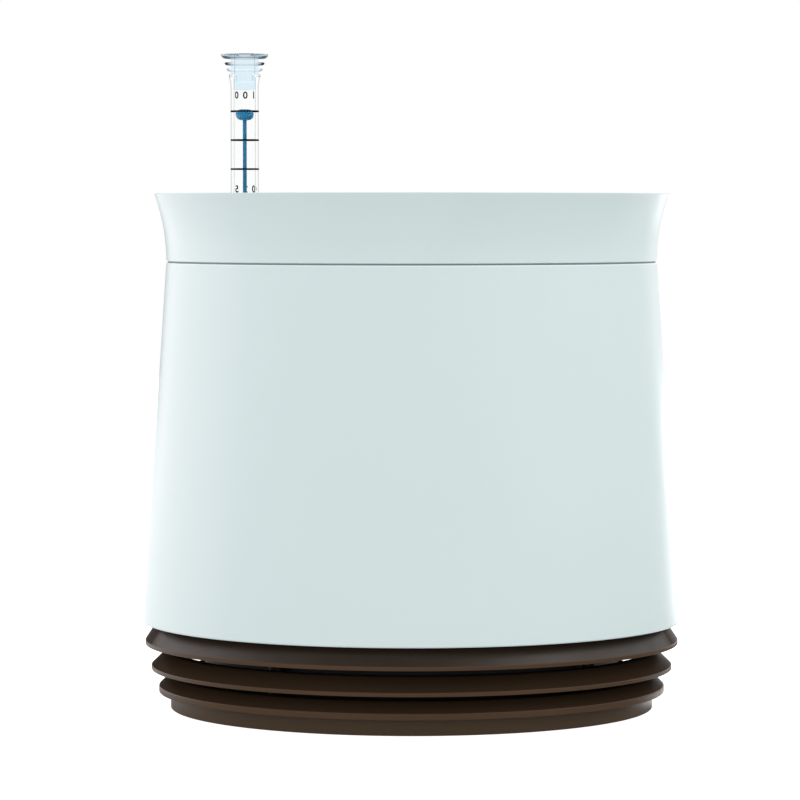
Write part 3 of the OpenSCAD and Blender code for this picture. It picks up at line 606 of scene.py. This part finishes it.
def make_upper_blade():
    """Steep blade under a flat ring that carries the shell."""
    face_r = UPPER_LIP_R - UPPER_FACE_W
    ring_r = face_r + RING_LAP
    ring_in_r = ring_r - RING_W
    ring_z = UPPER_TOP_Z - RING_T
    blade = turned([(UPPER_LIP_R, UPPER_LIP_Z, 0.3), (UPPER_LIP_R, UPPER_LIP_Z + BLADE_T, 0.3),
                    (face_r, ring_z, 0.4), (ring_r, ring_z, 0.2), (ring_r, UPPER_TOP_Z, 0.3),
                    (ring_in_r, UPPER_TOP_Z, 0.3), (ring_in_r, ring_z, 0.3),
                    (face_r - UPPER_FACE_WALL, ring_z, 0.6)])
    holes = bmesh.new()
    for turn in POST_TURNS:
        spot = around(ring_in_r + RING_W * RING_SCREW_SHARE, turn)
        pin(holes, SCREW_BORE_R, ring_z - OVERCUT, UPPER_TOP_Z + OVERCUT, spot)
    blade = carved(blade, [("DIFFERENCE", holes)])
    # The upper blade takes the darker copy of the brown, as painted shade
    made = piece("upper_blade", blade, BROWN_FACE_PAINTED_SHADE, "base", "upper_louvre")
    lip_painted_highlight(made, UPPER_LIP_R)


def make_shell():
    """Tapered skin with a rib inside its foot, a painted highlight on its top edge and painted shade in
    the groove at the seam.
    """
    def inside(z):
        return SHELL_LOW_R - SKIN - SHELL_TAPER * (z - SHELL_LOW_Z)
    groove_r = SEAM_R - SEAM_DEPTH
    ring_top_z = UPPER_TOP_Z + SHELL_RING_T
    rib_top_z = ring_top_z + SHELL_RIB_H
    shell = turned([(SHELL_LOW_R, SHELL_LOW_Z, 0.9), (SEAM_R, SHELL_TOP_Z, EDGE_ROUND),
                    (groove_r, SHELL_TOP_Z, 0.1), (groove_r, SEAM_Z, 0.1), (SEAM_R - SKIN, SEAM_Z, 0.2),
                    (inside(rib_top_z), rib_top_z, 0.6),
                    (inside(ring_top_z) - SHELL_RIB_W, ring_top_z, 0.3), (inside(ring_top_z), ring_top_z),
                    (SHELL_LOW_R - SKIN, SHELL_LOW_Z, 0.4)])
    skin = piece("shell_skin", shell, MINT_SATIN, "base", "outer_shell")
    # The rounded top edge gets the painted highlight, and the groove's faces get the painted shade
    skin.data.materials.append(MINT_PAINTED_HIGHLIGHT)
    skin.data.materials.append(SEAM_PAINTED_SHADE)
    for face in skin.data.polygons:
        reach = math.hypot(face.center.x, face.center.y)
        if face.center.z < (SHELL_TOP_Z - EDGE_ROUND) * MM or reach < (groove_r - 0.1) * MM:
            continue
        face.material_index = 1 if reach > (SEAM_R - EDGE_ROUND) * MM else 2


# Pot: collar, hanger, slotted inner pot and tank

def make_collar():
    """Collar whose outer and inner faces are arcs about one centre, flaring out to the rim."""
    flare = RIM_R - SEAM_R
    rise = RIM_Z - SEAM_Z
    outer_arc_r = (flare ** 2 + rise ** 2) / (2 * flare)
    inner_arc_r = outer_arc_r + SKIN
    centre = (SEAM_R + outer_arc_r, SEAM_Z)
    outer_turn = math.degrees(math.asin(rise / outer_arc_r))
    inner_turn = math.degrees(math.asin(SKIN / inner_arc_r) - math.asin(rise / inner_arc_r))
    inner_rim_r = centre[0] - math.sqrt(inner_arc_r ** 2 - rise ** 2)
    collar = turned([(SPIGOT_IN_R, SEAM_Z, 0.4), (SEAM_R, SEAM_Z, EDGE_ROUND),
                     {"centre": centre, "turn": outer_turn, "count": FLARE_STEPS, "rounding": 0.35},
                     (inner_rim_r, RIM_Z, 0.7),
                     {"centre": centre, "turn": inner_turn, "count": FLARE_STEPS, "rounding": 1.0},
                     (SPIGOT_IN_R, SEAM_Z + SKIN, 0.6)])
    piece("flared_collar", collar, MINT_SATIN, "pot", "rim_collar")


def make_hanger():
    """Spigot below the collar with a shelf that carries the inner pot."""
    shelf_in_r = LINER_TOP_R + LOOSE
    hanger = turned([(SPIGOT_IN_R, SEAM_Z, 0.2), (HANGER_R, SEAM_Z, 0.2), (HANGER_R, HANGER_Z, 0.6),
                     (shelf_in_r, HANGER_Z, 0.4), (shelf_in_r, LINER_TOP_Z, 0.4),
                     (SPIGOT_IN_R, LINER_TOP_Z, 0.5)])
    piece("pot_hanger", hanger, MINT_SATIN, "pot", "hanger_ring")


def make_inner_pot():
    """Slotted wall with a snap ring at its foot, a flange at its top and a ledge for the separator."""
    def outside(z):
        share = (z - LEDGE_Z) / (LINER_TOP_Z - LEDGE_Z)
        return LINER_LOW_R + (LINER_TOP_R - LINER_LOW_R) * share
    low_r = outside(LEDGE_TOP_Z)
    top_in_r = LINER_TOP_R - LINER_WALL
    snap_z = LEDGE_TOP_Z + SNAP_H
    slope_z = snap_z + SNAP_SLOPE
    liner = turned([(low_r, LEDGE_TOP_Z), (SNAP_R, LEDGE_TOP_Z, 0.2), (SNAP_R, snap_z, 0.3),
                    (outside(slope_z), slope_z), (LINER_TOP_R, LINER_TOP_Z), (top_in_r, LINER_TOP_Z),
                    (low_r - LINER_WALL, LEDGE_TOP_Z)])
    slot_len = (SLOT_TOP_Z - SLOT_Z - SLOT_GAP * (SLOT_TIERS - 1)) / SLOT_TIERS
    slots = bmesh.new()
    for tier in range(SLOT_TIERS):
        middle_z = SLOT_Z + tier * (slot_len + SLOT_GAP) + slot_len / 2
        for i in range(SLOT_COUNT):
            turn = math.tau * (i + 0.25 + 0.5 * (tier % 2)) / SLOT_COUNT
            bar(slots, (SLOT_CUT_DEPTH, SLOT_W, slot_len), (SLOT_CUT_R, 0, middle_z), turn,
                ease=SLOT_W * ROUND_END, ease_along=0, segments=5)
    wall = carved(liner, [("DIFFERENCE", slots)])
    piece("slotted_wall", wall, LINER_MATT, "pot", "inner_pot")
    flange = turned([(top_in_r, LINER_TOP_Z), (FLANGE_R, LINER_TOP_Z, 0.3), (FLANGE_R, FLANGE_TOP_Z, 0.6),
                     (top_in_r, FLANGE_TOP_Z, 0.8)])
    piece("wall_flange", flange, LINER_MATT, "pot", "pot_flange")
    ledge = turned([(LEDGE_IN_R, LEDGE_Z, 0.3), (LINER_LOW_R, LEDGE_Z, 0.4), (low_r, LEDGE_TOP_Z),
                    (LEDGE_IN_R, LEDGE_TOP_Z, 0.3)])
    piece("wall_ledge", ledge, LINER_MATT, "pot", "separator_ledge")


def make_tank():
    """Drum with a chamfered foot, a catch bead under its rim and a sloped seat for the inner pot."""
    in_r = TANK_R - TANK_WALL
    catch_r = in_r - CATCH_T
    seat_r = in_r - SEAT_W
    seat_z = LEDGE_Z - SEAT_T
    floor_z = TUBE_FOOT_Z
    tank = turned([(0, TANK_Z), (TANK_R - TANK_CHAMFER, TANK_Z, 0.8), (TANK_R, TANK_Z + TANK_CHAMFER, 0.8),
                   (TANK_R, TANK_TOP_Z, 0.5), (in_r, TANK_TOP_Z, 0.5), (in_r, CATCH_TOP_Z),
                   (catch_r, CATCH_TOP_Z - CATCH_SLOPE, 0.1), (catch_r, CATCH_Z + CATCH_SLOPE, 0.1),
                   (in_r, CATCH_Z), (in_r, LEDGE_Z, 0.3), (seat_r, LEDGE_Z, 0.3), (seat_r, seat_z, 0.3),
                   (in_r, seat_z - SEAT_W, 0.8), (in_r, floor_z, 1.5), (0, floor_z)])
    piece("tank_drum", tank, TANK_SLATE, "pot", "water_tank")


# Insert: basket and guide around the perforated separator

def make_basket():
    """Slotted cup that hangs from the separator into the water."""
    floor_z = BASKET_Z + BASKET_WALL
    basket = turned([(0, BASKET_Z), (BASKET_LOW_R, BASKET_Z, 1.2), (BASKET_TOP_R, LEDGE_TOP_Z),
                     (BASKET_TOP_R, SEPARATOR_TOP_Z, 0.2), (BASKET_RIM_R, SEPARATOR_TOP_Z, 0.3),
                     (BASKET_RIM_R, BASKET_TOP_Z, 0.6), (BASKET_RIM_R - BASKET_RIM_W, BASKET_TOP_Z, 0.6),
                     (BASKET_LOW_R - BASKET_WALL, floor_z, 1.0), (0, floor_z)], BASKET_STEPS)
    slots = bmesh.new()
    for i in range(BASKET_SLOTS):
        bar(slots, (BASKET_CUT_DEPTH, BASKET_SLOT_W, BASKET_SLOT_LEN),
            (BASKET_CUT_R, 0, BASKET_SLOT_MIDDLE_Z), math.tau * (i + 0.5) / BASKET_SLOTS,
            ease=BASKET_SLOT_W * ROUND_END, ease_along=0, segments=5)
    cup = carved(basket, [("DIFFERENCE", slots)])
    piece("wick_cup", cup, BROWN_INNER, "insert", "wick_basket")


def make_guide():
    """Sleeve that holds the gauge upright, with a rim that rests on the separator."""
    bore_r = TUBE_R + LOOSE
    rim_top_z = SEPARATOR_TOP_Z + GUIDE_RIM_T
    guide = turned([(bore_r, GUIDE_Z, 0.3), (GUIDE_R, GUIDE_Z, 0.4), (GUIDE_R, SEPARATOR_TOP_Z, 0.2),
                    (GUIDE_RIM_R, SEPARATOR_TOP_Z, 0.3), (GUIDE_RIM_R, rim_top_z, 0.5),
                    (GUIDE_R, rim_top_z, 0.5), (GUIDE_R, GUIDE_TOP_Z, 0.5), (bore_r, GUIDE_TOP_Z, 0.6)],
                   GAUGE_STEPS, GAUGE_AXIS)
    piece("guide_sleeve", guide, LINER_MATT, "insert", "gauge_guide")


# Gauge: clear tube, printed scale, stopper and pointer

def make_tube():
    """Tube with a flared mouth and inlets for the water near its foot."""
    flare = MOUTH_R - TUBE_R
    mouth_z = TUBE_TOP_Z - MOUTH_H
    arc_r = (flare ** 2 + MOUTH_H ** 2) / (2 * flare)
    arc_turn = math.degrees(math.asin(MOUTH_H / arc_r))
    tube = turned([(TUBE_BORE_R, TUBE_Z, 0.2), (TUBE_R, TUBE_Z, 0.3), (TUBE_R, mouth_z),
                   {"centre": (TUBE_R + arc_r, mouth_z), "turn": arc_turn, "count": MOUTH_STEPS,
                    "rounding": 0.3},
                   (TUBE_BORE_R, TUBE_TOP_Z, 0.3)], GAUGE_STEPS, GAUGE_AXIS)
    inlets = bmesh.new()
    for i in range(INLET_COUNT):
        bar(inlets, (INLET_CUT_DEPTH, INLET_W, INLET_LEN), (INLET_CUT_R, 0, INLET_MIDDLE_Z),
            math.tau * i / INLET_COUNT, ease=INLET_W * ROUND_END, ease_along=0, segments=4)
    bmesh.ops.translate(inlets, vec=GAUGE_AXIS, verts=inlets.verts[:])
    tube = carved(tube, [("DIFFERENCE", inlets)])
    piece("clear_tube", tube, TUBE_CLEAR, "gauge", "gauge_tube")


def make_tube_foot():
    """Plug that closes the tube's lower end."""
    plug_r = TUBE_BORE_R - SNUG
    foot = turned([(0, TUBE_FOOT_Z), (TUBE_R, TUBE_FOOT_Z, 0.8), (TUBE_R, TUBE_Z, 0.2), (plug_r, TUBE_Z),
                   (plug_r, TUBE_FOOT_TOP_Z, 0.5), (0, TUBE_FOOT_TOP_Z)], GAUGE_STEPS, GAUGE_AXIS)
    piece("tube_foot", foot, STOPPER_BLUE, "gauge", "gauge_foot")


def make_stopper():
    """Plug, ribbed grip and brim around a stepped hollow, each with the finish of its own thickness, and
    painted shade on the top rib and under the brim.
    """
    plug_r = TUBE_BORE_R - SNUG
    top_z = STOPPER_TOP_Z - STOPPER_DROP
    grip = [(0, PLUG_Z), (plug_r, PLUG_Z, 0.6), (plug_r, TUBE_TOP_Z)]
    for reach, low, high in STOPPER_RIBS:
        grip += [(TUBE_R, low, 0.1), (reach - RIB_SLANT, low, 0.15), (reach, high, 0.2),
                 (TUBE_R, high, 0.1)]
    grip += [(TUBE_R, BRIM_LOW_Z, 0.2), (BRIM_LOW_R, BRIM_LOW_Z, 0.2), (BRIM_EDGE_R, BRIM_EDGE_Z),
             (STOPPER_R, top_z, 0.3), (WELL_R, top_z, 0.5), (WELL_R, WELL_Z, 0.2), (PIT_R, WELL_Z, 0.2),
             (PIT_R, PIT_Z, 0.5), (0, PIT_Z)]
    grip = turned(grip, GAUGE_STEPS, GAUGE_AXIS)
    stopper = piece("ribbed_stopper", grip, STOPPER_BLUE, "stopper", "gauge_cap")
    rib, brim, plug, clear, rib_in_painted_shade = range(1, 6)
    for finish in (STOPPER_RIB, STOPPER_RIM, STOPPER_PLUG, TUBE_CLEAR, STOPPER_RIB_PAINTED_SHADE):
        stopper.data.materials.append(finish)
    for face in stopper.data.polygons:
        reach = math.hypot(face.center.x - GAUGE_AXIS.x, face.center.y - GAUGE_AXIS.y) / MM
        height = face.center.z / MM
        if reach > RIB_FROM_CORE_R and height > BRIM_EDGE_Z:
            face.material_index = brim
        elif reach > RIB_FROM_CORE_R:
            # The top rib and the brim's underside get the painted shade
            face.material_index = rib_in_painted_shade if height > RIB_SHADE_FROM_Z else rib
        elif height < CLEAR_BELOW_Z:
            face.material_index = plug if reach > CLEAR_IN_R or height < CLEAR_ABOVE_Z else clear
        elif reach < CLEAR_WELL_R:
            face.material_index = clear


def make_pointer():
    """Foam float, stem and round bead, which rise and fall together in the tube."""
    socket_r = STEM_R + SNUG
    foam = turned([(0, FLOAT_Z), (FLOAT_R, FLOAT_Z, 2.4), (FLOAT_R, FLOAT_TOP_Z, 2.4),
                   (socket_r, FLOAT_TOP_Z, 0.3), (socket_r, STEM_Z), (0, STEM_Z)], GAUGE_STEPS, GAUGE_AXIS)
    piece("float_body", foam, FLOAT_FOAM, "pointer", "gauge_float")
    stem = turned([(0, STEM_Z), (STEM_R, STEM_Z, 0.1), (STEM_R, STEM_TOP_Z, 0.1), (0, STEM_TOP_Z)],
                  STEM_STEPS, GAUGE_AXIS)
    piece("pointer_stem", stem, POINTER_BLUE, "pointer", "gauge_stem")
    # The bead takes the lighter copy of the stem's blue, as painted light
    bead = turned([(socket_r, BEAD_Z, 0.1), (BEAD_R, BEAD_Z, 2.7), (BEAD_R, BEAD_TOP_Z, 2.7),
                   (0, BEAD_TOP_Z), (0, STEM_TOP_Z), (socket_r, STEM_TOP_Z)], GAUGE_STEPS, GAUGE_AXIS)
    piece("pointer_bead", bead, BEAD_BLUE_PAINTED_LIGHT, "pointer", "indicator_head")


def make_scale_rings():
    """Printed rings round the tube, all in one piece."""
    in_r = TUBE_R + PRINT_LIFT
    out_r = in_r + PRINT_T
    rings = bmesh.new()
    for mark_z in SCALE_MARKS:
        low_z = mark_z - MARK_HALF_H
        high_z = mark_z + MARK_HALF_H
        ring = turned([(in_r, low_z), (out_r, low_z, 0.04), (out_r, high_z, 0.04), (in_r, high_z)],
                      GAUGE_STEPS, GAUGE_AXIS)
        mesh = bpy.data.meshes.new("ring")
        ring.to_mesh(mesh)
        ring.free()
        rings.from_mesh(mesh)
        bpy.data.meshes.remove(mesh)
    piece("scale_rings", rings, SCALE_INK, "gauge", None)


def make_scale_number(name, words, middle_z):
    """Number printed round the back of the tube, so it shows reversed through it from the front."""
    text = bpy.data.curves.new(name, "FONT")
    text.body = words
    text.align_x = "CENTER"
    text.align_y = "CENTER"
    text.size = NUMBER_SIZE * MM
    text.space_character = NUMBER_SPACING
    text.offset = NUMBER_WEIGHT * MM
    text.extrude = NUMBER_RELIEF * MM
    carrier = bpy.data.objects.new(name, text)
    scene.collection.objects.link(carrier)
    bpy.context.view_layer.update()
    flat = carrier.evaluated_get(bpy.context.evaluated_depsgraph_get())
    bm = bmesh.new()
    bm.from_mesh(flat.to_mesh())
    flat.to_mesh_clear()
    bpy.data.objects.remove(carrier)
    bpy.data.curves.remove(text)
    bmesh.ops.remove_doubles(bm, verts=bm.verts[:], dist=TOUCHING)
    print_r = (TUBE_R + PRINT_LIFT + PRINT_T / 2) * MM
    for vert in bm.verts:
        turn = math.pi / 2 + vert.co.x / print_r
        reach = print_r + vert.co.z
        vert.co = (GAUGE_AXIS.x + reach * math.cos(turn), GAUGE_AXIS.y + reach * math.sin(turn),
                   middle_z * MM + vert.co.y)
    bmesh.ops.recalc_face_normals(bm, faces=bm.faces[:])
    piece(name, bm, SCALE_INK, "gauge", None, even=False)


make_foot_tray()
make_lower_blade()
make_middle_blade()
make_upper_blade()
make_shell()
make_collar()
make_hanger()
make_inner_pot()
make_tank()
make_basket()
make_guide()
make_tube()
make_tube_foot()
make_stopper()
make_pointer()
make_scale_rings()
make_scale_number("full_number", "100", FULL_NUMBER_Z)
make_scale_number("low_number", "025", LOW_NUMBER_Z)

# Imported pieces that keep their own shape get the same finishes
BRACED = ("middle_brackets", "upper_brackets", "shell_ring", "lower_spacers", "upper_spacers")
SCREWED = ("base_screws", "shell_screws")
for finish, nodes in ((BROWN_INNER, BRACED), (ZINC_PLATE, SCREWED), (LINER_MATT, ("separator",))):
    for node in nodes:
        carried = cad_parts[node]
        carried.data.materials.clear()
        carried.data.materials.append(finish)


# Studio: white floor and backdrop, soft lights at both sides and a low strip of light behind at the right

def zone(tree, way, *slopes):
    """Soft-edged zone; each slope is an axis, where along it the zone has ended and where it is full."""
    inside = 1.0
    for axis, ended, full in slopes:
        inside = product(tree, inside, spread(tree, way.outputs[axis], ended, full, 0, 1))
    return inside


def reflection_glow_patches(tree, way):
    """Glow of patches on the floor beside and behind the pot, as painted reflections of light."""
    from_shell = joined(tree, "SUBTRACT", way.outputs["X"], 0.13)
    aside = joined(tree, "DIVIDE", from_shell, way.outputs["Y"])
    left = zone(tree, way, ("X", -0.12, -0.25), ("Y", -0.1, 0.1))
    right = zone(tree, way, ("X", 0.55, 0.70), ("X", 1.15, 0.95), ("Y", 0.9, 1.1), ("Y", 2.2, 1.9))
    near = zone(tree, way, ("X", 0.15, 0.30), ("Y", 0.25, 0.50), ("Y", 1.45, 1.15))
    near = product(tree, near, spread(tree, aside, 0.85, 0.42, 0, 1))
    foot = zone(tree, way, ("X", 0.120, 0.132), ("X", 0.26, 0.19), ("Y", -0.02, 0.01), ("Y", 0.16, 0.09))
    glow = 0.0
    for lit_patch, strength in ((left, 0.7), (right, 0.6), (near, 1.9), (foot, 2.0)):
        glow = joined(tree, "ADD", glow, product(tree, lit_patch, strength))
    return glow


def make_floor():
    """Floor that glows white to the camera; reflections see glowing patches and a painted shadow at the
    right.
    """
    ground = bmesh.new()
    bmesh.ops.create_grid(ground, x_segments=1, y_segments=1, size=FLOOR_HALF)
    bmesh.ops.translate(ground, vec=(0, 0, FLOOR_Z), verts=ground.verts[:])
    floor = as_object("studio_floor", ground)
    white, tree, shader, place = new_finish("floor_white", Roughness=0.9, Specular_IOR_Level=0.0,
                                            Emission_Strength=FLOOR_GLOW)
    rays = tree.nodes.new("ShaderNodeLightPath")
    through = rays.outputs["Is Transmission Ray"]
    seen = joined(tree, "MAXIMUM", rays.outputs["Is Camera Ray"], through)
    mirrored = product(tree, rays.outputs["Is Glossy Ray"], spread(tree, through, 0, 1, 1, 0))
    way = tree.nodes.new("ShaderNodeSeparateXYZ")
    tree.links.new(place, way.inputs["Vector"])
    # Painted reflections: patches that glow only where the floor is seen in reflections
    patch_glow = product(tree, mirrored, reflection_glow_patches(tree, way))
    tree.links.new(spread(tree, seen, 0, 1, patch_glow, 1), shader.inputs["Emission Color"])
    # Painted shadow on the floor at the right of the pot, seen only in reflections
    painted_shadow = product(tree, mirrored, zone(tree, way, ("X", 0.10, 0.20), ("Y", 0.45, 0.20)))
    tone = blended(tree, painted_shadow, (0.72, 0.72, 0.72, 1), (0.05, 0.05, 0.05, 1))
    tree.links.new(tone, shader.inputs["Base Color"])
    floor.data.materials.append(white)


def make_backdrop():
    """World that is white to the camera and through clear pieces, and lights the pot unevenly."""
    world = bpy.data.worlds.new("studio")
    scene.world = world
    world.use_nodes = True
    tree = world.node_tree
    back = tree.nodes["Background"]
    rays = tree.nodes.new("ShaderNodeLightPath")
    way = tree.nodes.new("ShaderNodeSeparateXYZ")
    tree.links.new(tree.nodes.new("ShaderNodeTexCoord").outputs["Generated"], way.inputs["Vector"])
    right_flag = zone(tree, way, ("X", 0.60, 0.75), ("Y", -0.25, 0.15), ("Z", 0.40, 0.12))
    back_glow = zone(tree, way, ("X", 0.18, 0.34), ("X", 0.66, 0.46), ("Y", 0.2, 0.6))
    back_shade = zone(tree, way, ("X", -0.42, -0.28), ("X", 0.22, 0.06), ("Y", 0.2, 0.6))
    canopy = zone(tree, way, ("X", 0.75, 0.0), ("Z", 0.62, 0.80))
    canopy = product(tree, canopy, rays.outputs["Is Glossy Ray"])
    right_glow = zone(tree, way, ("X", 0.50, 0.66), ("Y", -0.05, 0.30), ("Z", 0.25, 0.36),
                      ("Z", 0.80, 0.60))
    light = spread(tree, way.outputs["X"], 0.3, -1.0, 0.93, 1.18)
    for area, strength in ((right_flag, 0.7), (back_glow, 1.3), (back_shade, 0.05), (canopy, 0.05),
                           (right_glow, 1.45)):
        light = product(tree, light, spread(tree, area, 0, 1, 1, strength))
    for kind in ("Is Camera Ray", "Is Transmission Ray"):
        light = spread(tree, rays.outputs[kind], 0, 1, light, 1)
    tree.links.new(light, back.inputs["Strength"])
    back.inputs["Color"].default_value = (1, 1, 1, 1)


def soft_light(name, place, aim, width, height, power, colour=(1, 1, 1)):
    """Rectangular soft light, unseen by the camera."""
    lamp = bpy.data.lights.new(name, "AREA")
    lamp.shape = "RECTANGLE"
    lamp.size = width
    lamp.size_y = height
    lamp.energy = power
    lamp.color = colour
    holder = bpy.data.objects.new(name, lamp)
    holder.location = place
    holder.rotation_euler = (Vector(aim) - Vector(place)).to_track_quat("-Z", "Y").to_euler()
    holder.visible_camera = False
    scene.collection.objects.link(holder)


def make_camera():
    """Camera at the photo's place, looking a little down."""
    eye = bpy.data.cameras.new("photo_view")
    eye.lens = CAMERA_LENS
    eye.sensor_width = CAMERA_SENSOR
    camera = bpy.data.objects.new("photo_view", eye)
    camera.location = CAMERA_PLACE
    camera.rotation_euler = (math.radians(90 - CAMERA_DOWN), 0, math.radians(CAMERA_LEFT))
    scene.collection.objects.link(camera)
    scene.camera = camera


make_floor()
make_backdrop()
soft_light("left_softbox", place=(-1.56, 0.83, 0.85), aim=(0, 0, 0.85), width=2.3, height=2.0, power=7.6,
           colour=(1.0, 0.84, 0.91))
soft_light("right_strip", place=(0.79, 1.87, -0.01), aim=(0.13, 0, -0.01), width=0.75, height=0.20,
           power=1.15)
soft_light("right_softbox", place=(1.3, -0.5, 1.3), aim=(0, 0, 0.15), width=1.0, height=1.2, power=5.5)
make_camera()
scene.view_settings.view_transform = "Standard"

bpy.context.view_layer.update()
